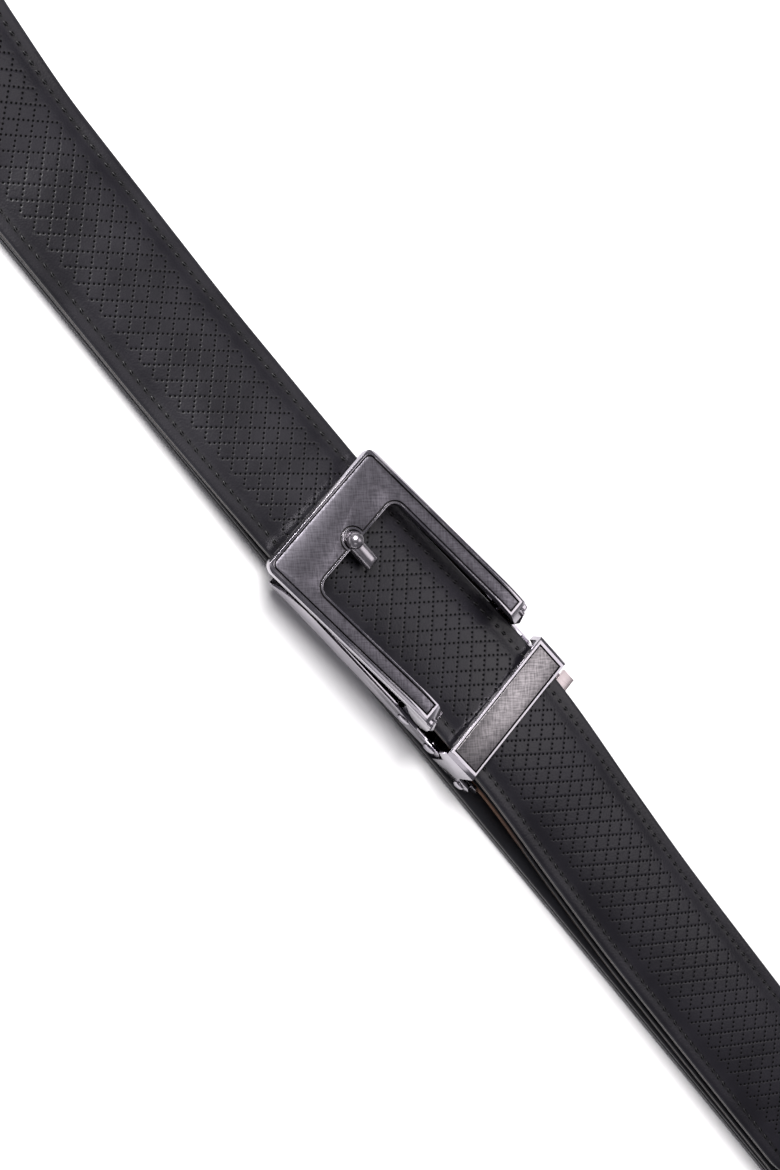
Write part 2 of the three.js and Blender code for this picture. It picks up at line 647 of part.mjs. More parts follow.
// Keeper: a roof on two side plates, with hinge ears inside the base and tongues for the clamp.
function keeperSolid() {
  const inner = FLANGE_OUT - SHEET;
  const edge = 0.6 * (KEEPER_OUT - KEEPER_RIM_HALF);
  const roofUnder = KEEPER_TOP - KEEPER_ROOF;
  const arch = polygon([
    [-KEEPER_OUT, TONGUE_BOTTOM - 1],
    [-inner, TONGUE_BOTTOM - 1],
    [-inner, roofUnder],
    [inner, roofUnder],
    [inner, TONGUE_BOTTOM - 1],
    [KEEPER_OUT, TONGUE_BOTTOM - 1],
    [KEEPER_OUT, KEEPER_TOP - edge],
    [KEEPER_RIM_HALF, KEEPER_TOP],
    [-KEEPER_RIM_HALF, KEEPER_TOP],
    [-KEEPER_OUT, KEEPER_TOP - edge],
  ]);
  const low = KEEPER_BOTTOM;
  const side = polygon([
    [BASE_END + 0.3, low],
    [BASE_END + 0.3, FLANGE_TOP - 1.0],
    [KEEPER_START, KEEPER_TOP - 4.8],
    [KEEPER_START, KEEPER_TOP - 0.3],
    [KEEPER_START + 0.3, KEEPER_TOP],
    [KEEPER_END - 0.3, KEEPER_TOP],
    [KEEPER_END, KEEPER_TOP - 0.3],
    [KEEPER_END + 0.2, TONGUE_TOP + 0.8],
    [KEEPER_END + 1.2, TONGUE_TOP],
    [TONGUE_END - 1.2, TONGUE_TOP - 0.3],
    [TONGUE_END, TONGUE_TOP - 1.6],
    [TONGUE_END, TONGUE_BOTTOM + 1.2],
    [TONGUE_END - 1.2, TONGUE_BOTTOM],
    [CLAMP_PIN.x - 1.6, TONGUE_BOTTOM],
    [CLAMP_PIN.x - 3.2, low],
  ]);
  const shell = alongPrism(arch, KEEPER_START, TONGUE_END).intersect(acrossPrism(side, -WIDE, WIDE));
  const recess = box(
    v(KEEPER_START + RIM + 0.2, -KEEPER_RIM_HALF + RIM + 0.2, KEEPER_TOP - RECESS),
    v(KEEPER_END - RIM - 0.2, KEEPER_RIM_HALF - RIM - 0.2, KEEPER_TOP + 1),
  );
  const turn = 1.85;
  const ear = new THREE.Shape();
  ear.moveTo(BASE_END + 2.4, KEEPER_AXLE.z + turn);
  ear.lineTo(KEEPER_AXLE.x, KEEPER_AXLE.z + turn);
  ear.absarc(KEEPER_AXLE.x, KEEPER_AXLE.z, turn, Math.PI / 2, 1.5 * Math.PI, false);
  ear.lineTo(BASE_END + 2.4, KEEPER_AXLE.z - turn);
  ear.closePath();
  const join = { low: KEEPER_AXLE.z - turn, high: KEEPER_AXLE.z + turn };
  const earIn = EAR_OUT - EAR_THICK;
  const lug = box(v(KEEPER_END - 2.4, LEVER_PIVOT.y - 0.8, LEVER_BOTTOM - 0.4), v(KEEPER_END, inner + 0.2, LEVER_BOTTOM + 1.2));
  const seat = rod(TRUNNION_RADIUS + 0.05, KEEPER_START, TONGUE_END, { x: 0, z: 0 })
    .rotate([0, 0, -90])
    .translate([0, LEVER_PIVOT.y, LEVER_PIVOT.z]);
  return shell
    .subtract(recess)
    .add(acrossPrism(ear, earIn, EAR_OUT))
    .add(acrossPrism(ear, -EAR_OUT, -earIn))
    .add(box(v(BASE_END + 0.3, earIn, join.low), v(BASE_END + 2.4, inner + 0.3, join.high)))
    .add(box(v(BASE_END + 0.3, -inner - 0.3, join.low), v(BASE_END + 2.4, -earIn, join.high)))
    .subtract(rod(AXLE_RADIUS + 0.02, -WIDE, WIDE, KEEPER_AXLE))
    .subtract(rod(AXLE_RADIUS - 0.18, -WIDE, WIDE, CLAMP_PIN))
    .add(lug)
    .subtract(seat);
}

function keeperInlaySolid() {
  const inset = RIM + 0.2 + GROOVE;
  const low = KEEPER_TOP - RECESS + 0.05;
  return box(
    v(KEEPER_START + inset, -KEEPER_RIM_HALF + inset, low),
    v(KEEPER_END - inset, KEEPER_RIM_HALF - inset, low + INLAY_THICK),
  );
}

// Clamp flap: a floor with cross teeth under the clamped end, and a lug up each side.
function clampFlapSolid() {
  const low = BASE_BOTTOM;
  const start = BASE_END + 3;
  let flap = box(v(start, -EAR_OUT, low), v(CLAMP_END, EAR_OUT, low + SHEET));
  for (const side of [-1, 1]) {
    const lug = polygon([
      [CLAMP_PIN.x - 2.6, low],
      [CLAMP_END, low],
      [CLAMP_END, low + 2.4],
      [CLAMP_END - 1.6, low + 4.0],
      [CLAMP_PIN.x - 2.6, low + 4.0],
    ]);
    const outer = side * EAR_OUT;
    const inner = side * (EAR_OUT - EAR_THICK);
    flap = flap.add(acrossPrism(lug, Math.min(outer, inner), Math.max(outer, inner)));
  }
  for (let x = start + 0.8; x < CLAMP_PIN.x - 3; x += 1.6) {
    const tooth = polygon([
      [x - 0.4, low + SHEET - 0.1],
      [x + 0.4, low + SHEET - 0.1],
      [x, low + SHEET + 0.4],
    ]);
    flap = flap.add(acrossPrism(tooth, -STRAP_HALF_WIDTH + 1.5, STRAP_HALF_WIDTH - 1.5));
  }
  return flap.subtract(rod(AXLE_RADIUS - 0.18, -WIDE, WIDE, CLAMP_PIN));
}

// Release lever: a flat bar over the clamped end with its tab out at the side and a pawl in the middle.
function leverSolid() {
  const top = LEVER_BOTTOM + LEVER_THICK;
  const bar = box(v(TAB_START, -5, LEVER_BOTTOM), v(TAB_END, TAB_OUT, top));
  const pawl = polygon([
    [TAB_START + 0.6, top - 0.1],
    [TAB_END - 0.4, top - 0.1],
    [TAB_END - 0.6, top + 0.35],
    [TAB_START + 2.2, top + 0.1],
  ]);
  const trunnion = rod(TRUNNION_RADIUS, KEEPER_END - 2.0, TAB_START + 0.5, { x: 0, z: 0 })
    .rotate([0, 0, -90])
    .translate([0, LEVER_PIVOT.y, LEVER_PIVOT.z]);
  return bar.add(acrossPrism(pawl, -3, 3)).add(trunnion);
}

const belt = new THREE.Group();
belt.name = 'ratchet_belt';

function place(parent, name, geometry, material) {
  const mesh = new THREE.Mesh(geometry, material);
  mesh.name = name;
  parent.add(mesh);
}

place(belt, 'strap_leather', sweep(strapStations, faceSection), MATERIALS.face);
place(belt, 'strap_lining', sweep(strapStations, liningSection), MATERIALS.lining);
place(belt, 'ratchet_track', trackSolid(), MATERIALS.track);

const buckle = new THREE.Group();
buckle.name = 'buckle';
buckle.rotation.z = BUCKLE_TURN;
buckle.position.set(
  -BUCKLE_MIDDLE * Math.cos(BUCKLE_TURN),
  -BUCKLE_MIDDLE * Math.sin(BUCKLE_TURN),
  0,
);
belt.add(buckle);

place(buckle, 'buckle_base', fromManifold(baseSolid()), MATERIALS.metal);
place(buckle, 'frame_axle', fromManifold(axleSolid(FRAME_AXLE)), MATERIALS.metal);
place(buckle, 'keeper_axle', fromManifold(axleSolid(KEEPER_AXLE)), MATERIALS.metal);
place(buckle, 'clamp_pin_left', fromManifold(clampPinSolid(-1)), MATERIALS.metal);
place(buckle, 'clamp_pin_right', fromManifold(clampPinSolid(1)), MATERIALS.metal);
place(buckle, 'buckle_frame', fromManifold(frameSolid()), MATERIALS.metal);
place(buckle, 'frame_inlay', fromManifold(frameInlaySolid()), MATERIALS.inlay);
place(buckle, 'prong_stub', fromManifold(prongSolid()), MATERIALS.metal);
place(buckle, 'keeper', fromManifold(keeperSolid()), MATERIALS.metal);
place(buckle, 'keeper_inlay', fromManifold(keeperInlaySolid()), MATERIALS.inlay);
place(buckle, 'clamp_flap', fromManifold(clampFlapSolid()), MATERIALS.metal);
place(buckle, 'release_lever', fromManifold(leverSolid()), MATERIALS.bright);

export default belt;
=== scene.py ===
# %% [markdown]
# A fastened ratchet belt, lying face up as a flattened loop
#
# This lesson dresses a belt whose hard shapes already exist as a frame of named nodes.
# The strap is cut flat and then bent along its path, the metal pieces are softened copies
# of the frame's own shapes, and every surface gets a material made of nodes.
# One Blender unit is a metre, the belt runs along X and its face looks up along Z.

import math
from collections import namedtuple

import bmesh
import bpy
from mathutils import Matrix, Quaternion, Vector


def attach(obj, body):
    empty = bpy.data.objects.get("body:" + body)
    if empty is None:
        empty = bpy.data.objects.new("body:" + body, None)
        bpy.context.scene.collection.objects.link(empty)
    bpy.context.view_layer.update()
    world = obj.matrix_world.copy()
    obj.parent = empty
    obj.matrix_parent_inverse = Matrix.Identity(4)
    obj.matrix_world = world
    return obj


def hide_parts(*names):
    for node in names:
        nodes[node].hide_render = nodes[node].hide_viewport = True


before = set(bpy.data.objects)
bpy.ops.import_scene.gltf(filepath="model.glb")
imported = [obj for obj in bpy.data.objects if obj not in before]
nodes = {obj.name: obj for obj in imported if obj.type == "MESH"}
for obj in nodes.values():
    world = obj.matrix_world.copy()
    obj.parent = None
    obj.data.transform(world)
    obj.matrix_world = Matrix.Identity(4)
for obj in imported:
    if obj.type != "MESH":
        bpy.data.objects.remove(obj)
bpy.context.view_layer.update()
MM = 0.001

# %% [markdown]
# Camera
#
# A photograph is matched by placing the camera where the photographer's was. This one looks
# steeply down on the buckle, and it is rolled by a quarter turn, so that the strap crosses
# the picture from the upper left to the lower right. The long lens keeps the lines parallel.

# %% Camera at the photograph's angle
CAMERA_AT = Vector((-0.20233, -0.2002, 0.5191))
LOOKS_AT = Vector((-0.01174, 0.00128, 0.008))
ROLL = math.radians(91.43)
camera_data = bpy.data.cameras.new("camera")
camera_data.lens = 71.19
camera_data.sensor_width = 36.0
camera_data.clip_start = 0.01
camera = bpy.data.objects.new("camera", camera_data)
towards = (LOOKS_AT - CAMERA_AT).to_track_quat("-Z", "Y")
camera.matrix_world = Matrix.LocRotScale(CAMERA_AT, towards @ Quaternion((0, 0, 1), ROLL), None)
bpy.context.scene.collection.objects.link(camera)
bpy.context.scene.camera = camera
print("camera distance, mm:", round((LOOKS_AT - CAMERA_AT).length / MM))

# %% [markdown]
# Floor and light
#
# The belt lies on white paper. Polished metal shows what is round it, so three soft boxes are
# placed by what mirrors them: the main one gives the shadow, the weak sheen box shows in the
# leather's flat middle and in the keeper, and the weakest draws the frame's near edges. The
# frame is pitched and mirrors the darker room beside the boxes.

# %% Pale floor and soft studio light
def stage_material(name, colour):
    material = bpy.data.materials.new(name)
    material.use_nodes = True
    shader = material.node_tree.nodes["Principled BSDF"]
    shader.inputs["Base Color"].default_value = (*colour, 1)
    shader.inputs["Roughness"].default_value = 0.9
    shader.inputs["Specular IOR Level"].default_value = 0.2
    return material


FLOOR_SIZE = 6.0
floor_mesh = bpy.data.meshes.new("floor")
bm = bmesh.new()
bmesh.ops.create_grid(bm, x_segments=1, y_segments=1, size=FLOOR_SIZE / 2)
bmesh.ops.translate(bm, verts=bm.verts, vec=(0, 0, -0.0002))
bm.to_mesh(floor_mesh)
bm.free()
floor = bpy.data.objects.new("floor", floor_mesh)
floor_mesh.materials.append(stage_material("paper", (0.92, 0.92, 0.925)))
bpy.context.scene.collection.objects.link(floor)

SoftBox = namedtuple("SoftBox", "name at aim wide high watts colour")
SOFT_BOXES = [
    SoftBox("main", (-0.60, 0.14, 0.88), (0.0, 0.0, 0.0), 0.5, 0.5, 22.0, (1.0, 0.98, 0.98)),
    SoftBox("sheen", (0.29, 0.33, 0.62), (0.02, 0.0, 0.0), 0.38, 0.36, 0.9, (1.0, 0.96, 0.97)),
    SoftBox("edge", (0.30, -0.57, 0.64), (0.0, 0.0, 0.0), 0.4, 0.3, 0.42, (1.0, 0.97, 0.98)),
]
for box in SOFT_BOXES:
    light_data = bpy.data.lights.new(box.name, "AREA")
    light_data.shape = "RECTANGLE"
    light_data.size = box.wide
    light_data.size_y = box.high
    light_data.energy = box.watts
    light_data.color = box.colour
    light = bpy.data.objects.new(box.name, light_data)
    facing = (Vector(box.aim) - Vector(box.at)).to_track_quat("-Z", "Y")
    light.matrix_world = Matrix.LocRotScale(Vector(box.at), facing, None)
    bpy.context.scene.collection.objects.link(light)

world = bpy.data.worlds.new("room")
bpy.context.scene.world = world
world.use_nodes = True
world.node_tree.nodes["Background"].inputs["Color"].default_value = (0.92, 0.90, 1.0, 1)
world.node_tree.nodes["Background"].inputs["Strength"].default_value = 0.18
bpy.context.scene.view_settings.view_transform = "Standard"
print("soft boxes:", [box.name for box in SOFT_BOXES])

# %% [markdown]
# Node helpers
#
# A material is a small graph. These helpers keep the graphs short to write: they place a node
# whose inputs are numbers or sockets, blend two values or colours, and bend the surface's
# normal by a height. A group holds an effect that several materials share, so that it is
# built only once.

# %% Helpers that place nodes
def place_node(tree, kind, **inputs):
    node = tree.nodes.new(kind)
    for name, value in inputs.items():
        set_input(tree, node.inputs[name.replace("_", " ")], value)
    return node


def set_input(tree, socket, value):
    if isinstance(value, bpy.types.NodeSocket):
        tree.links.new(value, socket)
    else:
        socket.default_value = value


def maths(tree, operation, *values, clamp=False):
    node = tree.nodes.new("ShaderNodeMath")
    node.operation = operation
    node.use_clamp = clamp
    for socket, value in zip(node.inputs, values):
        set_input(tree, socket, value)
    return node.outputs[0]


def blend_value(tree, value, low, high, to_low=0.0, to_high=1.0):
    node = tree.nodes.new("ShaderNodeMapRange")
    node.interpolation_type = "SMOOTHSTEP"
    for name, number in zip(("Value", "From Min", "From Max", "To Min", "To Max"),
                            (value, low, high, to_low, to_high)):
        set_input(tree, node.inputs[name], number)
    return node.outputs["Result"]


def blend_colour(tree, share, first, second):
    node = tree.nodes.new("ShaderNodeMix")
    node.data_type = "RGBA"
    set_input(tree, node.inputs["Factor"], share)
    set_input(tree, node.inputs["A"], first)
    set_input(tree, node.inputs["B"], second)
    return node.outputs["Result"]


def new_group(name, takes, gives):
    tree = bpy.data.node_groups.new(name, "ShaderNodeTree")
    for label, kind, default in takes:
        socket = tree.interface.new_socket(label, in_out="INPUT", socket_type=kind)
        if default is not None:
            socket.default_value = default
    for label, kind in gives:
        tree.interface.new_socket(label, in_out="OUTPUT", socket_type=kind)
    return tree, tree.nodes.new("NodeGroupInput").outputs, tree.nodes.new("NodeGroupOutput").inputs


def use_group(tree, group, **inputs):
    node = tree.nodes.new("ShaderNodeGroup")
    node.node_tree = group
    for name, value in inputs.items():
        set_input(tree, node.inputs[name], value)
    return node.outputs


def bend_normal(tree, shader, height, strength, distance):
    bump = place_node(tree, "ShaderNodeBump", Height=height, Strength=strength, Distance=distance)
    tree.links.new(bump.outputs["Normal"], shader.inputs["Normal"])


def object_place(tree):
    return place_node(tree, "ShaderNodeTexCoord").outputs["Object"]


def new_material(name, metallic, ior=1.5, coat_roughness=0.1):
    material = bpy.data.materials.new(name)
    material.use_nodes = True
    shader = material.node_tree.nodes["Principled BSDF"]
    shader.inputs["Metallic"].default_value = metallic
    shader.inputs["IOR"].default_value = ior
    shader.inputs["Coat Roughness"].default_value = coat_roughness
    return material, material.node_tree, shader


# %% [markdown]
# Grain, smudges and scratches
#
# Leather has a skin of small rounded cells, which a Voronoi texture gives, on top of slow
# rises and falls from noise. Handled metal carries faint smudges that change how sharply it
# mirrors, and hair-thin scratches, which are noise stretched along one direction.

# %% Shared effects: leather grain and handled metal
def make_grain():
    takes = [("Vector", "NodeSocketVector", None), ("Cell", "NodeSocketFloat", 0.0007)]
    gives = [("Height", "NodeSocketFloat"), ("Mottle", "NodeSocketFloat")]
    tree, given, out = new_group("leather_grain", takes, gives)
    scale = maths(tree, "DIVIDE", 1.0, given["Cell"])
    wobble = place_node(tree, "ShaderNodeTexNoise", Vector=given["Vector"], Scale=900.0, Detail=2.0)
    shift = place_node(tree, "ShaderNodeVectorMath")
    shift.operation = "MULTIPLY_ADD"
    tree.links.new(wobble.outputs["Color"], shift.inputs[0])
    shift.inputs[1].default_value = (0.0003, 0.0003, 0.0003)
    tree.links.new(given["Vector"], shift.inputs[2])
    cells = place_node(tree, "ShaderNodeTexVoronoi", Vector=shift.outputs[0], Scale=scale)
    cells.feature = "SMOOTH_F1"
    slow = place_node(tree, "ShaderNodeTexNoise", Vector=given["Vector"], Scale=60.0, Detail=4.0)
    domes = maths(tree, "SUBTRACT", 1.0, cells.outputs["Distance"])
    tree.links.new(maths(tree, "MULTIPLY_ADD", slow.outputs["Fac"], 0.35, domes), out["Height"])
    tree.links.new(blend_value(tree, slow.outputs["Fac"], 0.3, 0.7), out["Mottle"])
    return tree


def make_handled():
    takes = [("Vector", "NodeSocketVector", None)]
    gives = [("Smudge", "NodeSocketFloat"), ("Scratch", "NodeSocketFloat")]
    tree, given, out = new_group("handled_metal", takes, gives)
    smudge = place_node(tree, "ShaderNodeTexNoise", Vector=given["Vector"], Scale=130.0, Detail=5.0)
    tree.links.new(blend_value(tree, smudge.outputs["Fac"], 0.38, 0.68), out["Smudge"])
    along = place_node(tree, "ShaderNodeMapping", Vector=given["Vector"])
    along.inputs["Rotation"].default_value = (0.0, 0.0, math.radians(34))
    along.inputs["Scale"].default_value = (120.0, 5200.0, 2600.0)
    lines = place_node(tree, "ShaderNodeTexNoise", Vector=along.outputs[0], Scale=1.0, Detail=1.0)
    tree.links.new(blend_value(tree, lines.outputs["Fac"], 0.66, 0.74), out["Scratch"])
    return tree


GRAIN = make_grain()
HANDLED = make_handled()
print("shared effects:", [group.name for group in (GRAIN, HANDLED)])

# %% [markdown]
# The pressed pattern on the face
#
# A roller pressed rows of pin-pricks into the padded middle of the face. The rows cross as a
# lattice of diamonds. The pattern follows the leather round every bend, so it reads the
# strap's own map, whose first number is the place along the strap and whose second is the
# place across it, both in metres. Two slanted counts come from them, and a prick sits where
# one count is whole and the other is at a third.

# %% Group: lattice of pin-pricks
DIAMOND_ALONG = 0.00495
DIAMOND_ACROSS = 0.00567
PRICKS_PER_SIDE = 3.0


def off_whole(tree, count, parts):
    """How far a count is from its nearest whole part, in counts."""
    scaled = maths(tree, "MULTIPLY", count, parts)
    nearest = maths(tree, "ROUND", scaled)
    return maths(tree, "DIVIDE", maths(tree, "SUBTRACT", scaled, nearest), parts)


def prick_distance(tree, count_a, count_b, parts_a, parts_b):
    off_a = off_whole(tree, count_a, parts_a)
    off_b = off_whole(tree, count_b, parts_b)
    along = maths(tree, "MULTIPLY", maths(tree, "ADD", off_a, off_b), DIAMOND_ALONG / 2)
    across = maths(tree, "MULTIPLY", maths(tree, "SUBTRACT", off_a, off_b), DIAMOND_ACROSS / 2)
    square = maths(tree, "MULTIPLY", along, along)
    return maths(tree, "SQRT", maths(tree, "MULTIPLY_ADD", across, across, square))


def make_pricks():
    takes = [("Along", "NodeSocketFloat", 0.0), ("Across", "NodeSocketFloat", 0.0)]
    gives = [("Pit", "NodeSocketFloat"), ("Lip", "NodeSocketFloat"), ("Line", "NodeSocketFloat")]
    tree, given, out = new_group("pressed_lattice", takes, gives)
    along = maths(tree, "DIVIDE", given["Along"], DIAMOND_ALONG)
    across = maths(tree, "DIVIDE", given["Across"], DIAMOND_ACROSS)
    count_a = maths(tree, "ADD", along, across)
    count_b = maths(tree, "SUBTRACT", along, across)
    first = prick_distance(tree, count_a, count_b, 1.0, PRICKS_PER_SIDE)
    second = prick_distance(tree, count_a, count_b, PRICKS_PER_SIDE, 1.0)
    nearest = maths(tree, "MINIMUM", first, second)
    tree.links.new(blend_value(tree, nearest, 0.0002, 0.00042, 1.0, 0.0), out["Pit"])
    tree.links.new(blend_value(tree, nearest, 0.0003, 0.0006, 1.0, 0.0), out["Lip"])
    off_a = maths(tree, "ABSOLUTE", off_whole(tree, count_a, 1.0))
    off_b = maths(tree, "ABSOLUTE", off_whole(tree, count_b, 1.0))
    line = maths(tree, "MINIMUM", off_a, off_b)
    tree.links.new(blend_value(tree, line, 0.0, 0.16, 1.0, 0.0), out["Line"])
    return tree


PRICKS = make_pricks()

# %% [markdown]
# Leather of the face
#
# Black calf, slightly violet, with a satin finish. The pricks are deep and hold no light, so
# painted shade makes them darker and rougher. Their shine is taken away by making them metallic as well: a
# metal whose colour is black mirrors nothing, while a black plastic still has a clear gloss.
# Towards the edges the pressed pattern stops, and a seam with its small holes runs through
# the smooth margin. Painted shade darkens the seam's groove, and the holes take the pricks' painted shade.

# %% Material: face leather
PATTERN_REACH = 0.0112
PATTERN_FADE = 0.0006
STITCH_LINE = 14.0
STITCH_PITCH = 2.7
SEAM_AT = STITCH_LINE * MM
SEAM_PITCH = STITCH_PITCH * MM
SKIN_DARK = (0.0062, 0.0057, 0.0080, 1)
SKIN_LIGHT = (0.0100, 0.0092, 0.0128, 1)
SKIN_PRESSED = (0.0055, 0.0052, 0.0066, 1)
SEAM_GROOVE_SHADE = (0.0030, 0.0028, 0.0036, 1)
PIT_SHADE = (0.0012, 0.0012, 0.0015, 1)


def leather_of_face():
    material, tree, shader = new_material("face_leather", 0.0, ior=1.42)
    lay = place_node(tree, "ShaderNodeUVMap")
    lay.uv_map = "lay"
    split = place_node(tree, "ShaderNodeSeparateXYZ", Vector=lay.outputs["UV"])
    along, across = split.outputs["X"], split.outputs["Y"]
    place = object_place(tree)
    grain = use_group(tree, GRAIN, Vector=place, Cell=0.00045)
    pricks = use_group(tree, PRICKS, Along=along, Across=across)
    off_middle = maths(tree, "ABSOLUTE", across)
    inside = blend_value(tree, off_middle, PATTERN_REACH - PATTERN_FADE,
                         PATTERN_REACH + PATTERN_FADE, 1.0, 0.0)
    off_seam = maths(tree, "ABSOLUTE", maths(tree, "SUBTRACT", off_middle, SEAM_AT))
    seam_shade = blend_value(tree, off_seam, 0.0002, 0.0009, 1.0, 0.0)
    nearest_stitch = maths(tree, "PINGPONG", along, SEAM_PITCH / 2)
    hole = maths(tree, "MULTIPLY", blend_value(tree, nearest_stitch, 0.0002, 0.0006, 1.0, 0.0),
                 blend_value(tree, off_seam, 0.0003, 0.0006, 1.0, 0.0))
    # Painted shade: the pricks and the stitch holes get a near-black colour, black metal and more
    # roughness.
    pit_shade = maths(tree, "MAXIMUM", maths(tree, "MULTIPLY", pricks["Pit"], inside), hole)
    lip = maths(tree, "MULTIPLY", pricks["Lip"], inside)
    line = maths(tree, "MULTIPLY", pricks["Line"], inside)
    skin = blend_colour(tree, grain["Mottle"], SKIN_DARK, SKIN_LIGHT)
    pressed = blend_colour(tree, maths(tree, "MULTIPLY", line, 0.15), skin, SKIN_PRESSED)
    # Painted shade along the seam's groove.
    seam_shaded = blend_colour(tree, maths(tree, "MULTIPLY", seam_shade, 0.6), pressed, SEAM_GROOVE_SHADE)
    colour = blend_colour(tree, pit_shade, seam_shaded, PIT_SHADE)
    tree.links.new(colour, shader.inputs["Base Color"])
    tree.links.new(maths(tree, "MULTIPLY", pit_shade, 0.85), shader.inputs["Metallic"])
    rough = maths(tree, "MULTIPLY_ADD", grain["Mottle"], 0.08, 0.29)
    tree.links.new(maths(tree, "MULTIPLY_ADD", pit_shade, 0.6, rough, clamp=True), shader.inputs["Roughness"])
    fine = maths(tree, "MULTIPLY", grain["Height"], 0.16)
    raised = maths(tree, "MULTIPLY_ADD", line, -0.16, fine)
    height = maths(tree, "MULTIPLY_ADD", lip, -0.1, raised)
    bend_normal(tree, shader, height, 0.8, 0.00022)
    return material


FACE_LEATHER = leather_of_face()
print("face leather ready, diamonds of", DIAMOND_ALONG / MM, "by", DIAMOND_ACROSS / MM, "mm")

# %% [markdown]
# Edge paint and lining
#
# A dress belt's cut edges are sealed with black paint that dries to a soft gloss. Where the
# cut end goes into the clamp the paint is thin and the brown leather shows. The lining is
# split leather: matt, dark brown and a little fibrous.

# %% Materials: edge paint, lining and thread
BARE_EDGE_FROM = 0.026
BARE_EDGE_TO = 0.046


def paint_of_edge():
    material, tree, shader = new_material("edge_paint", 0.0)
    lay = place_node(tree, "ShaderNodeUVMap")
    lay.uv_map = "lay"
    along = place_node(tree, "ShaderNodeSeparateXYZ", Vector=lay.outputs["UV"]).outputs["X"]
    place = object_place(tree)
    grain = use_group(tree, GRAIN, Vector=place, Cell=0.0009)
    ragged = maths(tree, "MULTIPLY_ADD", grain["Mottle"], 0.012, along)
    bare = blend_value(tree, ragged, BARE_EDGE_FROM, BARE_EDGE_TO, 1.0, 0.0)
    painted = blend_colour(tree, grain["Mottle"], (0.009, 0.009, 0.011, 1), (0.015, 0.015, 0.019, 1))
    raw = blend_colour(tree, grain["Mottle"], (0.075, 0.030, 0.013, 1), (0.13, 0.055, 0.024, 1))
    tree.links.new(blend_colour(tree, bare, painted, raw), shader.inputs["Base Color"])
    tree.links.new(maths(tree, "MULTIPLY_ADD", bare, 0.35, 0.33), shader.inputs["Roughness"])
    bend_normal(tree, shader, grain["Height"], 0.35, 0.0001)
    return material


def leather_of_lining():
    material, tree, shader = new_material("lining_leather", 0.0)
    place = object_place(tree)
    grain = use_group(tree, GRAIN, Vector=place, Cell=0.00035)
    fibres = place_node(tree, "ShaderNodeTexNoise", Vector=place, Scale=2600.0, Detail=3.0)
    mottle = maths(tree, "MULTIPLY", grain["Mottle"], 0.4)
    tone = maths(tree, "MULTIPLY_ADD", fibres.outputs["Fac"], 0.6, mottle)
    colour = blend_colour(tree, tone, (0.035, 0.017, 0.010, 1), (0.105, 0.052, 0.030, 1))
    tree.links.new(colour, shader.inputs["Base Color"])
    tree.links.new(maths(tree, "MULTIPLY_ADD", tone, 0.15, 0.68), shader.inputs["Roughness"])
    bend_normal(tree, shader, tone, 0.6, 0.00012)
    return material


def thread_of_stitches():
    material, tree, shader = new_material("waxed_thread", 0.0)
    place = object_place(tree)
    twist = place_node(tree, "ShaderNodeTexWave", Vector=place, Scale=900.0, Distortion=1.5)
    twist.bands_direction = "DIAGONAL"
    tone = twist.outputs["Fac"]
    tree.links.new(blend_colour(tree, tone, (0.004, 0.004, 0.005, 1), (0.014, 0.014, 0.016, 1)),
                   shader.inputs["Base Color"])
    tree.links.new(maths(tree, "MULTIPLY_ADD", tone, 0.2, 0.4), shader.inputs["Roughness"])
    bend_normal(tree, shader, tone, 0.5, 0.00005)
    return material


EDGE_PAINT = paint_of_edge()
LINING_LEATHER = leather_of_lining()
THREAD = thread_of_stitches()

# %% [markdown]
# The strap's path
#
# Seen from the side the strap is one long line: it starts in the clamp, runs out to the right
# bend, back underneath, round the left bend, in through the buckle and ends as the free tail
# on top. The heights and sideways places are the frame's own, in millimetres, with a smooth
# curve through them that never overshoots.

# %% Path of the strap, seen from the side
STRAP_THICK = 3.2
HALF_WIDTH = 17.2
BEND_RADIUS = 6.5
LOOP_LEFT = -205.0
LOOP_RIGHT = 255.0
BEND_LEAD = 58.0
BEND_SHOULDER = 28.0
SHOULDER_RISE = 4.5
LEFT_SIDE = -2.1
RIGHT_SIDE = 0.2
TIP_X = 208.0
RESTING = 3.5
BEND_TOP = 16.2
TAIL_RESTING = 8.3
IN_KEEPER = 11.7
CLAMPED = 5.2
STEP = 1.6

Level = namedtuple("Level", "x value")


def smooth_curve(rows):
    """A curve through the rows, as the frame has it, that never overshoots them."""
    slopes = [0.0] * len(rows)
    for i in range(1, len(rows) - 1):
        before = (rows[i].value - rows[i - 1].value) / (rows[i].x - rows[i - 1].x)
        after = (rows[i + 1].value - rows[i].value) / (rows[i + 1].x - rows[i].x)
        if before * after > 0:
            slopes[i] = 2 * before * after / (before + after)

    def at(x):
        i = 0
        while i < len(rows) - 2 and x > rows[i + 1].x:
            i += 1
        span = rows[i + 1].x - rows[i].x
        t = min(max((x - rows[i].x) / span, 0.0), 1.0)
        rise = rows[i + 1].value - rows[i].value
        lead = span * t * (1 - t) * (slopes[i] * (1 - t) - slopes[i + 1] * t)
        return rows[i].value + rise * t * t * (3 - 2 * t) + lead

    return at


upper_height = smooth_curve([
    Level(LOOP_LEFT, BEND_TOP), Level(LOOP_LEFT + BEND_SHOULDER, RESTING + SHOULDER_RISE),
    Level(LOOP_LEFT + BEND_LEAD, RESTING),
    Level(-100, RESTING), Level(-64, RESTING + 1.9), Level(-42, RESTING + 3.6),
    Level(-22, RESTING + 5.0), Level(3, IN_KEEPER - 1.4), Level(26.4, IN_KEEPER),
    Level(39.6, IN_KEEPER), Level(78, TAIL_RESTING + 1.2), Level(123, TAIL_RESTING),
    Level(TIP_X, TAIL_RESTING),
])
clamped_height = smooth_curve([
    Level(30, CLAMPED), Level(46.6, CLAMPED), Level(80, RESTING),
    Level(LOOP_RIGHT - BEND_LEAD, RESTING),
    Level(LOOP_RIGHT - BEND_SHOULDER, RESTING + SHOULDER_RISE), Level(LOOP_RIGHT, BEND_TOP),
])
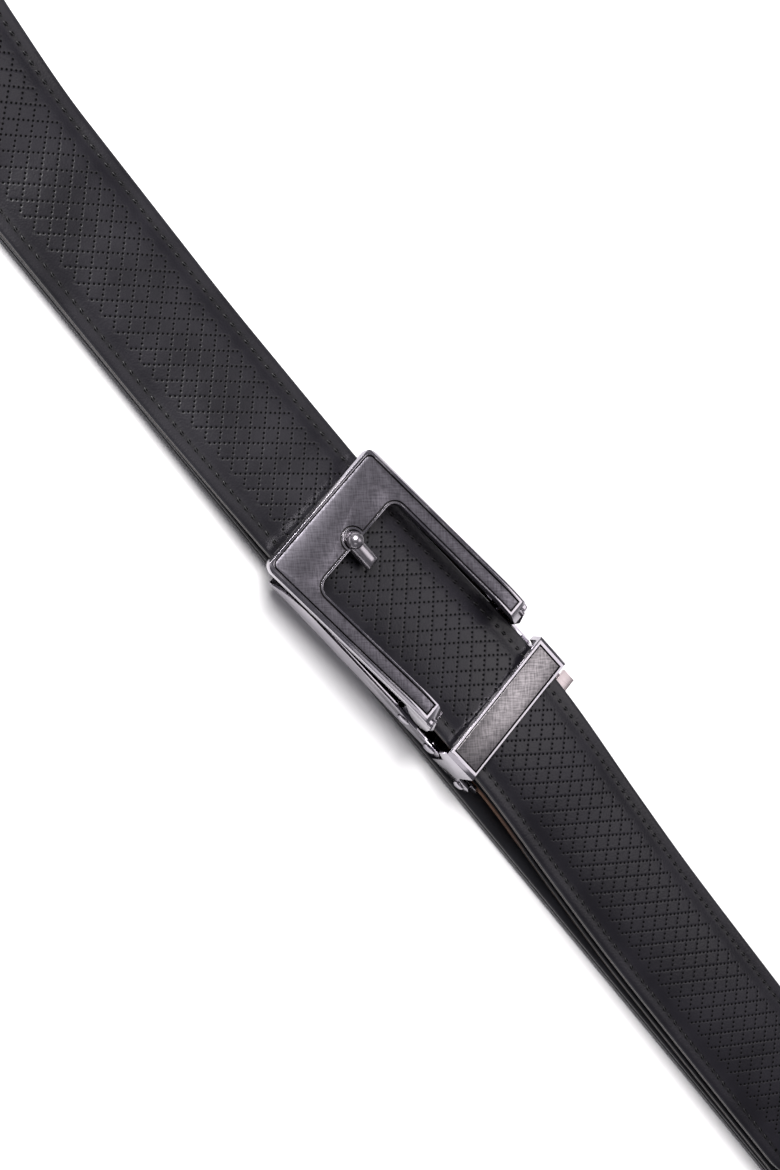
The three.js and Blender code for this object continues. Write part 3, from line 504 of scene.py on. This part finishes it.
upper_side = smooth_curve([
    Level(-46, LEFT_SIDE), Level(-30, -1.75), Level(30, 1.85), Level(42, 2.0), Level(108, 0.7),
    Level(TIP_X, RIGHT_SIDE),
])
clamped_side = smooth_curve([
    Level(30, 2.3), Level(48, 2.8), Level(118, 0.7), Level(LOOP_RIGHT, RIGHT_SIDE),
])
under_side = smooth_curve([Level(LOOP_LEFT, LEFT_SIDE), Level(LOOP_RIGHT, RIGHT_SIDE)])

Station = namedtuple("Station", "at out")


def run(start, end, height, side):
    count = max(1, round(abs(end - start) / STEP))
    for i in range(count + 1):
        x = start + (end - start) * i / count
        rise = (height(x + 0.1) - height(x - 0.1)) / 0.2
        yield Station(Vector((x, side(x), height(x))), Vector((-rise, 0, 1)).normalized())


def bend(x, y, start, end, steps=24):
    centre = Vector((x, y, STRAP_THICK + BEND_RADIUS))
    for i in range(1, steps):
        angle = math.radians(start + (end - start) * i / steps)
        out = Vector((math.cos(angle), 0, math.sin(angle)))
        yield Station(centre + out * BEND_RADIUS, out)


def under_run(count=40):
    for i in range(count + 1):
        x = LOOP_RIGHT + (LOOP_LEFT - LOOP_RIGHT) * i / count
        yield Station(Vector((x, under_side(x), STRAP_THICK)), Vector((0, 0, -1)))


CLAMPED_START = 32.0
path = [
    *run(CLAMPED_START, LOOP_RIGHT, clamped_height, clamped_side),
    *bend(LOOP_RIGHT, RIGHT_SIDE, 90, -90),
    *under_run(),
    *bend(LOOP_LEFT, LEFT_SIDE, -90, -270),
    *run(LOOP_LEFT, TIP_X, upper_height, upper_side),
]
travelled = [0.0]
for before, after in zip(path, path[1:]):
    travelled.append(travelled[-1] + (after.at - before.at).length)
TOTAL = travelled[-1]
print("strap length, mm:", round(TOTAL), "stations:", len(path))

# %% [markdown]
# The face, cut flat and bent
#
# A plain grid stands for the leather: its rows are the stations of the path, and its columns
# go once round the cross-section. Each vertex is moved to its place, the two long sides that
# meet under the strap are merged, and the ends are closed. The map is written at the same
# time, so the pattern stays true along every bend.

# %% Helpers: a strip of any cross-section along the path
SectionPoint = namedtuple("SectionPoint", "across height paint")
TIP_LENGTH = 22.0
TIP_SHARE = 0.3
TIP_ROUNDING = 2.5


def tip_share(station):
    left = TOTAL - station
    if left > TIP_LENGTH:
        return 1.0
    t = 1 - left / TIP_LENGTH
    rounding = math.sqrt(max(0.0, 1 - max(0.0, 1 - left / TIP_ROUNDING) ** 2 * 0.35))
    return (1 - (1 - TIP_SHARE) * t * t) * rounding


def finish_piece(name, bm, body, materials, smooth_below=35.0):
    """Writes a bmesh as an object at the origin, with its sharp edges marked, riding on a body."""
    for face in bm.faces:
        face.smooth = True
    for edge in bm.edges:
        edge.smooth = len(edge.link_faces) == 2 and edge.calc_face_angle(0) < math.radians(smooth_below)
    mesh = bpy.data.meshes.new(name)
    bm.to_mesh(mesh)
    bm.free()
    for material in materials:
        mesh.materials.append(material)
    piece = bpy.data.objects.new(name, mesh)
    bpy.context.scene.collection.objects.link(piece)
    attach(piece, body)
    return piece


def strip_along_path(section, inset=0.0):
    rows, columns = len(path) - 1, len(section)
    bm = bmesh.new()
    bmesh.ops.create_grid(bm, x_segments=rows, y_segments=columns, size=1.0)
    lay = bm.loops.layers.uv.new("lay")
    placed = {}
    for vert in bm.verts:
        row = round((vert.co.x + 1) / 2 * rows)
        column = round((vert.co.y + 1) / 2 * columns) % columns
        placed[vert] = (row, column)
    for face in bm.faces:
        middle = [placed[vert][1] for vert in face.verts]
        low = min(middle) if max(middle) - min(middle) < 2 else columns - 1
        face.material_index = 1 if section[low].paint else 0
        for loop in face.loops:
            row, column = placed[loop.vert]
            share = tip_share(travelled[row])
            loop[lay].uv = (travelled[row] * MM, section[column].across * share * MM)
    for vert, (row, column) in placed.items():
        station = path[row]
        share = tip_share(travelled[row])
        across = section[column].across * share
        place = station.at + Vector((0, across, 0)) + station.out * section[column].height
        vert.co = place * MM
    bmesh.ops.remove_doubles(bm, verts=bm.verts, dist=1e-6)
    bmesh.ops.holes_fill(bm, edges=[edge for edge in bm.edges if edge.is_boundary], sides=0)
    for face in bm.faces:
        if len(face.verts) > 4:
            face.material_index = 1
    bmesh.ops.recalc_face_normals(bm, faces=bm.faces)
    return bm


# %% The padded face
FACE_FROM = 1.2
MARGIN_TOP = 2.2
CROWN = 1.0
crown_rise = smooth_curve([
    Level(0, 1.05), Level(0.2 * HALF_WIDTH, 1.02), Level(0.4 * HALF_WIDTH, 0.9),
    Level(0.58 * HALF_WIDTH, 0.66), Level(0.7 * HALF_WIDTH, 0.34), Level(0.78 * HALF_WIDTH, 0.0),
    Level(0.84 * HALF_WIDTH, 0.0), Level(0.89 * HALF_WIDTH, 0.09), Level(HALF_WIDTH, 0.02),
])


def face_height(across):
    return MARGIN_TOP + CROWN * crown_rise(abs(across))


TOP_COLUMNS = 34
TOP_HALF = 16.5
side = [
    SectionPoint(0.0, FACE_FROM, True), SectionPoint(16.7, FACE_FROM, True),
    SectionPoint(17.0, 1.26, True), SectionPoint(17.2, 1.5, True), SectionPoint(17.18, 1.8, True),
    SectionPoint(17.05, 2.02, True), SectionPoint(16.8, 2.16, True),
]
top_across = [TOP_HALF * (1 - 2 * i / TOP_COLUMNS) for i in range(TOP_COLUMNS + 1)]
top = [SectionPoint(across, face_height(across), False) for across in top_across]
other_side = [SectionPoint(-point.across, point.height, True) for point in reversed(side[1:])]
face_piece = finish_piece("face", strip_along_path(side + top + other_side), "belt",
                          [FACE_LEATHER, EDGE_PAINT], smooth_below=60)
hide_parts("strap_leather")
print("face:", len(face_piece.data.polygons), "faces")

# %% The lining
lining_side = [
    SectionPoint(0.0, 0.0, False), SectionPoint(16.6, 0.0, True), SectionPoint(16.95, 0.12, True),
    SectionPoint(17.05, 0.4, True), SectionPoint(17.05, 0.8, True), SectionPoint(16.9, 1.0, False),
]
lining_section = lining_side + [SectionPoint(-point.across, point.height, point.paint)
                                for point in reversed(lining_side[1:])]
lining_piece = finish_piece("lining", strip_along_path(lining_section), "belt",
                            [LINING_LEATHER, EDGE_PAINT], smooth_below=60)
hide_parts("strap_lining")
print("lining:", len(lining_piece.data.polygons), "faces")

# %% [markdown]
# Stitches
#
# A lockstitch shows on the face as a row of short slanted threads that dip into their holes.
# Each one is a small bevelled block, stretched and then laid on the strap, one after another.
# They are so many that each has only a few dozen faces.

# %% Two rows of stitches
STITCH_LENGTH = 1.75
STITCH_WIDTH = 0.34
STITCH_THICK = 0.3
STITCH_SINK = 0.02
STITCH_BEVEL = 0.11
STITCH_SLANT = math.radians(14)
FIRST_STITCH = 4.0
STITCH_END_GAP = 2.0


def place_on_strap(along, across, lift):
    """The point on the face and the strap's own directions there."""
    low, high = 0, len(travelled) - 1
    while high - low > 1:
        middle = (low + high) // 2
        if travelled[middle] <= along:
            low = middle
        else:
            high = middle
    share = (along - travelled[low]) / (travelled[high] - travelled[low])
    at = path[low].at.lerp(path[high].at, share)
    out = path[low].out.lerp(path[high].out, share).normalized()
    ahead = (path[high].at - path[low].at).normalized()
    return at + Vector((0, across, 0)) + out * (face_height(across) + lift), ahead, out


STITCHES_IN_ROW = int((TOTAL - TIP_LENGTH - FIRST_STITCH - STITCH_END_GAP) / STITCH_PITCH)
stitches = bmesh.new()
for row in (-1, 1):
    for i in range(STITCHES_IN_ROW):
        along = FIRST_STITCH + (i + 0.5) * STITCH_PITCH
        at, ahead, out = place_on_strap(along, row * STITCH_LINE, -STITCH_SINK)
        sideways = out.cross(ahead).normalized()
        upright = ahead.cross(sideways).normalized()
        turn = Matrix((ahead, sideways, upright)).transposed().to_4x4()
        slant = Matrix.Rotation(row * STITCH_SLANT, 4, "Z")
        size = Matrix.Diagonal((STITCH_LENGTH * MM, STITCH_WIDTH * MM, STITCH_THICK * MM, 1))
        laid = Matrix.Translation(at * MM) @ turn @ slant @ size
        bmesh.ops.create_cube(stitches, size=1.0, matrix=laid)
bmesh.ops.bevel(stitches, geom=stitches.edges[:], offset=STITCH_BEVEL * MM, offset_type="OFFSET",
                segments=1, profile=0.5, affect="EDGES", clamp_overlap=True, material=-1)
finish_piece("stitches", stitches, "belt", [THREAD], smooth_below=80)
print("stitches:", 2 * STITCHES_IN_ROW)

# %% [markdown]
# Gunmetal, hatched inlay and bright steel
#
# The buckle's metal is dark chrome: a mirror with a lilac cast. Its inlays carry a fine woven
# hatch, cut at 45 degrees to the buckle, so that they scatter the soft box instead of
# mirroring it. The hatch comes as a lit and a shaded copy: the frame's inlay gets the darker
# colours as painted shade. The release tab is plain bright steel, and the prong is a duller gunmetal.

# %% Materials: polished and hatched metal
BUCKLE_TURN = math.radians(4.4)
THREAD_FINE = 2500.0
THREAD_LONG = 300.0
THREAD_EDGE = (0.34, 0.66)


def polished(name, dark, light, roughness):
    material, tree, shader = new_material(name, 1.0)
    place = object_place(tree)
    handled = use_group(tree, HANDLED, Vector=place)
    tree.links.new(blend_colour(tree, handled["Smudge"], dark, light), shader.inputs["Base Color"])
    smudged = maths(tree, "MULTIPLY_ADD", handled["Smudge"], 0.07, roughness)
    rough = maths(tree, "MULTIPLY_ADD", handled["Scratch"], 0.12, smudged)
    tree.links.new(rough, shader.inputs["Roughness"])
    bend_normal(tree, shader, handled["Smudge"], 0.05, 0.00005)
    return material


def hatched(name, dark, light):
    material, tree, shader = new_material(name, 1.0)
    place = object_place(tree)
    handled = use_group(tree, HANDLED, Vector=place)
    turned = place_node(tree, "ShaderNodeMapping", Vector=place)
    turned.vector_type = "TEXTURE"
    turned.inputs["Rotation"].default_value = (0, 0, BUCKLE_TURN + math.radians(45))
    threads = []
    for stretch in ((THREAD_LONG, THREAD_FINE, 1.0), (THREAD_FINE, THREAD_LONG, 1.0)):
        drawn = place_node(tree, "ShaderNodeMapping", Vector=turned.outputs[0])
        drawn.inputs["Scale"].default_value = stretch
        line = place_node(tree, "ShaderNodeTexNoise", Vector=drawn.outputs[0], Scale=1.0, Detail=2.0)
        threads.append(blend_value(tree, line.outputs["Fac"], *THREAD_EDGE))
    ridge = maths(tree, "MULTIPLY", maths(tree, "ADD", *threads), 0.5)
    grit = place_node(tree, "ShaderNodeTexNoise", Vector=place, Scale=2800.0, Detail=2.0)
    height = maths(tree, "MULTIPLY_ADD", grit.outputs["Fac"], 0.15, ridge)
    tone = maths(tree, "MULTIPLY_ADD", handled["Smudge"], 0.08, height, clamp=True)
    tree.links.new(blend_colour(tree, tone, dark, light), shader.inputs["Base Color"])
    tree.links.new(maths(tree, "MULTIPLY_ADD", ridge, -0.06, 0.34), shader.inputs["Roughness"])
    bend_normal(tree, shader, ridge, 0.2, 0.00003)
    return material


GUNMETAL = polished("gunmetal", (0.35, 0.335, 0.37, 1), (0.41, 0.39, 0.42, 1), 0.12)
PRONG_METAL = polished("prong_metal", (0.32, 0.305, 0.33, 1), (0.38, 0.36, 0.385, 1), 0.24)
BRIGHT = polished("bright_steel", (0.42, 0.37, 0.375, 1), (0.47, 0.415, 0.42, 1), 0.25)
# Lit and shaded copies of one hatch: the frame's darker colours are painted shade.
HATCHED_SHADED = hatched("hatched_shaded", (0.06, 0.057, 0.066, 1), (0.19, 0.18, 0.205, 1))
HATCHED_LIT = hatched("hatched_lit", (0.12, 0.114, 0.120, 1), (0.35, 0.33, 0.34, 1))

# %% Materials: painted recess shade and moulded track
# Painted shade: a near-black, rough metal laid in the recesses under the inlays.
def recess_shade_material():
    material, tree, shader = new_material("painted_recess_shade", 1.0)
    place = object_place(tree)
    handled = use_group(tree, HANDLED, Vector=place)
    tree.links.new(blend_colour(tree, handled["Smudge"], (0.012, 0.011, 0.012, 1), (0.03, 0.028, 0.03, 1)),
                   shader.inputs["Base Color"])
    tree.links.new(maths(tree, "MULTIPLY_ADD", handled["Smudge"], 0.1, 0.45), shader.inputs["Roughness"])
    bend_normal(tree, shader, handled["Smudge"], 0.1, 0.00005)
    return material


RECESS_SHADE = recess_shade_material()


def moulded():
    material, tree, shader = new_material("moulded_track", 0.0)
    place = object_place(tree)
    grain = use_group(tree, GRAIN, Vector=place, Cell=0.0003)
    tree.links.new(blend_colour(tree, grain["Mottle"], (0.010, 0.010, 0.011, 1), (0.018, 0.018, 0.019, 1)),
                   shader.inputs["Base Color"])
    tree.links.new(maths(tree, "MULTIPLY_ADD", grain["Mottle"], 0.1, 0.42), shader.inputs["Roughness"])
    bend_normal(tree, shader, grain["Height"], 0.2, 0.00004)
    return material


nodes["ratchet_track"].data.materials.clear()
nodes["ratchet_track"].data.materials.append(moulded())

# %% [markdown]
# Metal pieces with softened edges
#
# No cast or pressed edge is truly sharp: a narrow rounding catches the light and draws the
# bright lines round a buckle. Each frame node is copied, its loose triangles are merged and
# its flat faces joined, and every sharp edge is then bevelled by a tenth of a millimetre or
# two. The shape stays the frame's, but for the legs' ends, which turn down a little.

# %% Helper: a softened copy of a frame node
BUCKLE_MIDDLE = 42.0
BUCKLE = Matrix.Rotation(BUCKLE_TURN, 4, "Z") @ Matrix.Translation((-BUCKLE_MIDDLE * MM, 0, 0))
PITCH = math.radians(8.66)
FRAME_TOP = 15.0
KEEPER_TOP = 16.6
FRAME_PLANE = BUCKLE @ Matrix.Translation((0, 0, FRAME_TOP * MM)) @ Matrix.Rotation(-PITCH, 4, "Y")
KEEPER_PLANE = BUCKLE @ Matrix.Translation((0, 0, KEEPER_TOP * MM))
RECESS = 0.6
Recess = namedtuple("Recess", "plane low_x high_x half")
FRAME_RECESS = Recess(FRAME_PLANE, 0.45, 55.05, 19.45)
KEEPER_RECESS = Recess(KEEPER_PLANE, 68.9, 78.1, 18.6)


def paint_recess_shade(bm, recess):
    """Paints shade on the floor and the lower walls of the recess under an inlay, with the near-black
    metal.
    """
    to_plane = recess.plane.inverted()
    for face in bm.faces:
        middle = to_plane @ face.calc_center_median() / MM
        inside = recess.low_x < middle.x < recess.high_x and abs(middle.y) < recess.half
        if inside and -RECESS - 0.1 < middle.z < -0.2 and face.normal.z > -0.3:
            face.material_index = 1


LEG_BEND_FROM = 48.5
LEG_BEND = 0.013
LEG_CUTS = 8
HINGE_BELOW = -4.5
HINGE_FADE = 2.0


def cut_across_legs(bm):
    """Adds a few cuts across the legs, so that they can bend smoothly."""
    for i in range(LEG_CUTS):
        at = FRAME_PLANE @ Vector(((LEG_BEND_FROM + i) * MM, 0, 0))
        normal = FRAME_PLANE.to_3x3() @ Vector((1, 0, 0))
        bmesh.ops.bisect_plane(bm, geom=bm.verts[:] + bm.edges[:] + bm.faces[:], dist=1e-7,
                               plane_co=at, plane_no=normal)


def bend_leg_ends(bm):
    """The legs of the frame turn down a little in their last few millimetres."""
    to_plane = FRAME_PLANE.inverted()
    down = (FRAME_PLANE.to_3x3() @ Vector((0, 0, -1))).normalized()
    for vert in bm.verts:
        place = to_plane @ vert.co / MM
        past = place.x - LEG_BEND_FROM
        if past > 0 and place.z > HINGE_BELOW:
            share = min(1.0, (place.z - HINGE_BELOW) / HINGE_FADE)
            vert.co += down * LEG_BEND * past * past * MM * share


def softened(name, node, body, materials, width, sharp=28.0, segments=3, recess=None, bent=False):
    bm = bmesh.new()
    bm.from_mesh(nodes[node].data)
    bmesh.ops.remove_doubles(bm, verts=bm.verts, dist=2e-6)
    bmesh.ops.dissolve_limit(bm, angle_limit=math.radians(0.6), verts=bm.verts, edges=bm.edges)
    bmesh.ops.recalc_face_normals(bm, faces=bm.faces)
    edges = [edge for edge in bm.edges
             if len(edge.link_faces) == 2 and edge.calc_face_angle(0) > math.radians(sharp)]
    bmesh.ops.bevel(bm, geom=edges, offset=width * MM, offset_type="OFFSET", segments=segments,
                    profile=0.5, affect="EDGES", clamp_overlap=True, material=-1)
    if recess:
        paint_recess_shade(bm, recess)
    if bent:
        cut_across_legs(bm)
        bend_leg_ends(bm)
    piece = finish_piece(name, bm, body, materials, smooth_below=33)
    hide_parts(node)
    print(name, "edges softened:", len(edges), "faces:", len(piece.data.polygons))
    return piece


# %% Frame, inlays, keeper, base, flap and lever
# The second metal paints shade in the recesses under the inlays.
METALS = [GUNMETAL, RECESS_SHADE]
softened("frame_body", "buckle_frame", "frame", METALS, 0.24,
         recess=FRAME_RECESS, bent=True)
softened("frame_hatching", "frame_inlay", "frame", [HATCHED_SHADED], 0.06, bent=True)
softened("keeper_body", "keeper", "belt", METALS, 0.2, recess=KEEPER_RECESS)
softened("keeper_hatching", "keeper_inlay", "belt", [HATCHED_LIT], 0.06)
softened("base_plate", "buckle_base", "belt", [GUNMETAL], 0.12)
softened("flap", "clamp_flap", "belt", [GUNMETAL], 0.08)
softened("lever", "release_lever", "lever", [BRIGHT], 0.12)

# %% [markdown]
# Cheeks of the legs
#
# Each leg ends in a deep cheek that is flush with its side and hides the hinge foot behind it.
# Its outline is a few vertices joined to one face, which is extruded to its thickness and has
# its edges bevelled like the rest of the buckle.

# %% Two cheeks under the legs' ends
CHEEK_IN = 18.7
CHEEK_OUT = 20.5
CHEEK_BEVEL = 0.35
CheekPoint = namedtuple("CheekPoint", "x z")
CHEEK_OUTLINE = [
    CheekPoint(48.6, 20.9), CheekPoint(57.4, 21.9), CheekPoint(59.0, 19.6), CheekPoint(59.6, 17.2),
    CheekPoint(58.4, 15.6), CheekPoint(55.6, 15.4), CheekPoint(52.6, 17.0), CheekPoint(50.2, 19.0),
]
cheeks = bmesh.new()
for hand in (-1, 1):
    rim = [cheeks.verts.new(Vector((point.x, hand * CHEEK_IN, point.z)) * MM) for point in CHEEK_OUTLINE]
    grown = bmesh.ops.extrude_face_region(cheeks, geom=[cheeks.faces.new(rim)])["geom"]
    outer = [item for item in grown if isinstance(item, bmesh.types.BMVert)]
    bmesh.ops.translate(cheeks, verts=outer, vec=(0, hand * (CHEEK_OUT - CHEEK_IN) * MM, 0))
bmesh.ops.recalc_face_normals(cheeks, faces=cheeks.faces)
bmesh.ops.bevel(cheeks, geom=cheeks.edges[:], offset=CHEEK_BEVEL * MM, offset_type="OFFSET",
                segments=3, profile=0.5, affect="EDGES", clamp_overlap=True, material=-1)
bmesh.ops.transform(cheeks, matrix=BUCKLE, verts=cheeks.verts)
cheek_piece = finish_piece("leg_cheeks", cheeks, "frame", [GUNMETAL], smooth_below=40)
print("cheeks:", len(cheek_piece.data.polygons), "faces")

# %% [markdown]
# Rivets and pins
#
# A rivet is round, so it is turned like wood on a lathe: half of its outline is drawn with a
# few vertices and spun once round the pin's own line. The domed heads stand outside the
# buckle's sides.

# %% Turned rivets
PIN_RADIUS = 1.1
HEAD_RADIUS = 1.9
CLAMP_HEAD_RADIUS = 1.6
CLAMP_PIN_RADIUS = 0.9
HEAD_HIGH = 0.7
HEAD_GAP = 0.05
FLANGE_OUT = 19.6
KEEPER_OUT = 20.1
CLAMP_PIN_IN = 17.95
FRAME_PIN_AT = (56.9, 0, 7.6)
KEEPER_PIN_AT = (68.0, 0, 6.6)
CLAMP_PIN_AT = (81.8, 0, 5.0)
RivetPoint = namedtuple("RivetPoint", "radius along")


def turned(name, outline, at, node):
    bm = bmesh.new()
    corners = [bm.verts.new((point.radius * MM, point.along * MM, 0)) for point in outline]
    line = [bm.edges.new(pair) for pair in zip(corners, corners[1:])]
    bmesh.ops.spin(bm, geom=corners + line, cent=(0, 0, 0), axis=(0, 1, 0), angle=2 * math.pi,
                   steps=32, use_merge=True)
    bmesh.ops.remove_doubles(bm, verts=bm.verts, dist=1e-6)
    bmesh.ops.recalc_face_normals(bm, faces=bm.faces)
    bmesh.ops.transform(bm, matrix=BUCKLE @ Matrix.Translation(Vector(at) * MM), verts=bm.verts)
    piece = finish_piece(name, bm, "belt", [GUNMETAL], smooth_below=40)
    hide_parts(node)
    return piece


def domed_head(tip, radius, high):
    rows = [RivetPoint(radius * 0.97, tip), RivetPoint(radius, tip + high * 0.12)]
    for i in range(1, 8):
        angle = math.radians(90 * i / 7)
        rows.append(RivetPoint(radius * math.cos(angle), tip + high * (0.12 + 0.88 * math.sin(angle))))
    return rows


head = domed_head(FLANGE_OUT + HEAD_GAP, HEAD_RADIUS, HEAD_HIGH)
far_head = [RivetPoint(point.radius, -point.along) for point in reversed(head)]
shank = [RivetPoint(PIN_RADIUS, -FLANGE_OUT - HEAD_GAP), RivetPoint(PIN_RADIUS, FLANGE_OUT + HEAD_GAP)]
turned("frame_rivet", far_head + shank + head, FRAME_PIN_AT, "frame_axle")
turned("keeper_rivet", far_head + shank + head, KEEPER_PIN_AT, "keeper_axle")
short = [RivetPoint(0.0, CLAMP_PIN_IN), RivetPoint(CLAMP_PIN_RADIUS, CLAMP_PIN_IN),
         RivetPoint(CLAMP_PIN_RADIUS, KEEPER_OUT + HEAD_GAP)]
short += domed_head(KEEPER_OUT + HEAD_GAP, CLAMP_HEAD_RADIUS, HEAD_HIGH)
turned("clamp_rivet_left", short, CLAMP_PIN_AT, "clamp_pin_left")
short = [RivetPoint(point.radius, -point.along) for point in short]
turned("clamp_rivet_right", short, CLAMP_PIN_AT, "clamp_pin_right")

# %% [markdown]
# The prong
#
# On this kind of buckle the prong is only for show: a ball in the round bay of the frame with
# a short bar behind it. The ball is a sphere with many segments. The bar is a block whose
# corners are moved to its taper and whose upper edges get a wide bevel, so that it is nearly
# half round.

# %% Ball, bar and tang
BALL_AT = (12.2, 0, 0.3)
BALL_RADIUS = 2.3
BAR_END = 20.4
BAR_HALF = 1.95
BAR_TOP_NEAR, BAR_TOP_FAR = 0.45, -1.1
BAR_LOW_NEAR, BAR_LOW_FAR = -2.2, -3.85
BAR_BEVEL = 1.75
TANG_AT = (9.6, 0, -2.0)
TANG_SIZE = (7.2, 3.0, 0.6)

prong = bmesh.new()
bmesh.ops.create_uvsphere(prong, u_segments=40, v_segments=24, radius=BALL_RADIUS * MM,
                          matrix=Matrix.Translation(Vector(BALL_AT) * MM))
bar = bmesh.ops.create_cube(prong, size=1.0)["verts"]
for vert in bar:
    far = vert.co.x > 0
    upper = vert.co.z > 0
    x = BAR_END if far else BALL_AT[0]
    top_z = BAR_TOP_FAR if far else BAR_TOP_NEAR
    low_z = BAR_LOW_FAR if far else BAR_LOW_NEAR
    z = top_z if upper else low_z
    vert.co = Vector((x, BAR_HALF * (1 if vert.co.y > 0 else -1), z)) * MM
UPPER_FROM = -1.5
PAST_BALL = 13.0


def is_upper(edge):
    """The bar's upper edges, but for the one that is hidden in the ball."""
    ends = [end.co / MM for end in edge.verts]
    return all(end.z > UPPER_FROM for end in ends) and (ends[0].x + ends[1].x) / 2 > PAST_BALL


upper_edges = {edge for vert in bar for edge in vert.link_edges if is_upper(edge)}
bmesh.ops.bevel(prong, geom=list(upper_edges), offset=BAR_BEVEL * MM, offset_type="OFFSET", segments=8,
                profile=0.5, affect="EDGES", clamp_overlap=True, material=-1)
tang_size = Matrix.Diagonal((*(side * MM for side in TANG_SIZE), 1))
bmesh.ops.create_cube(prong, size=1.0, matrix=Matrix.Translation(Vector(TANG_AT) * MM) @ tang_size)
bmesh.ops.transform(prong, matrix=FRAME_PLANE, verts=prong.verts)
prong_piece = finish_piece("prong", prong, "frame", [PRONG_METAL], smooth_below=40)
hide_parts("prong_stub")
print("prong:", len(prong_piece.data.polygons), "faces")
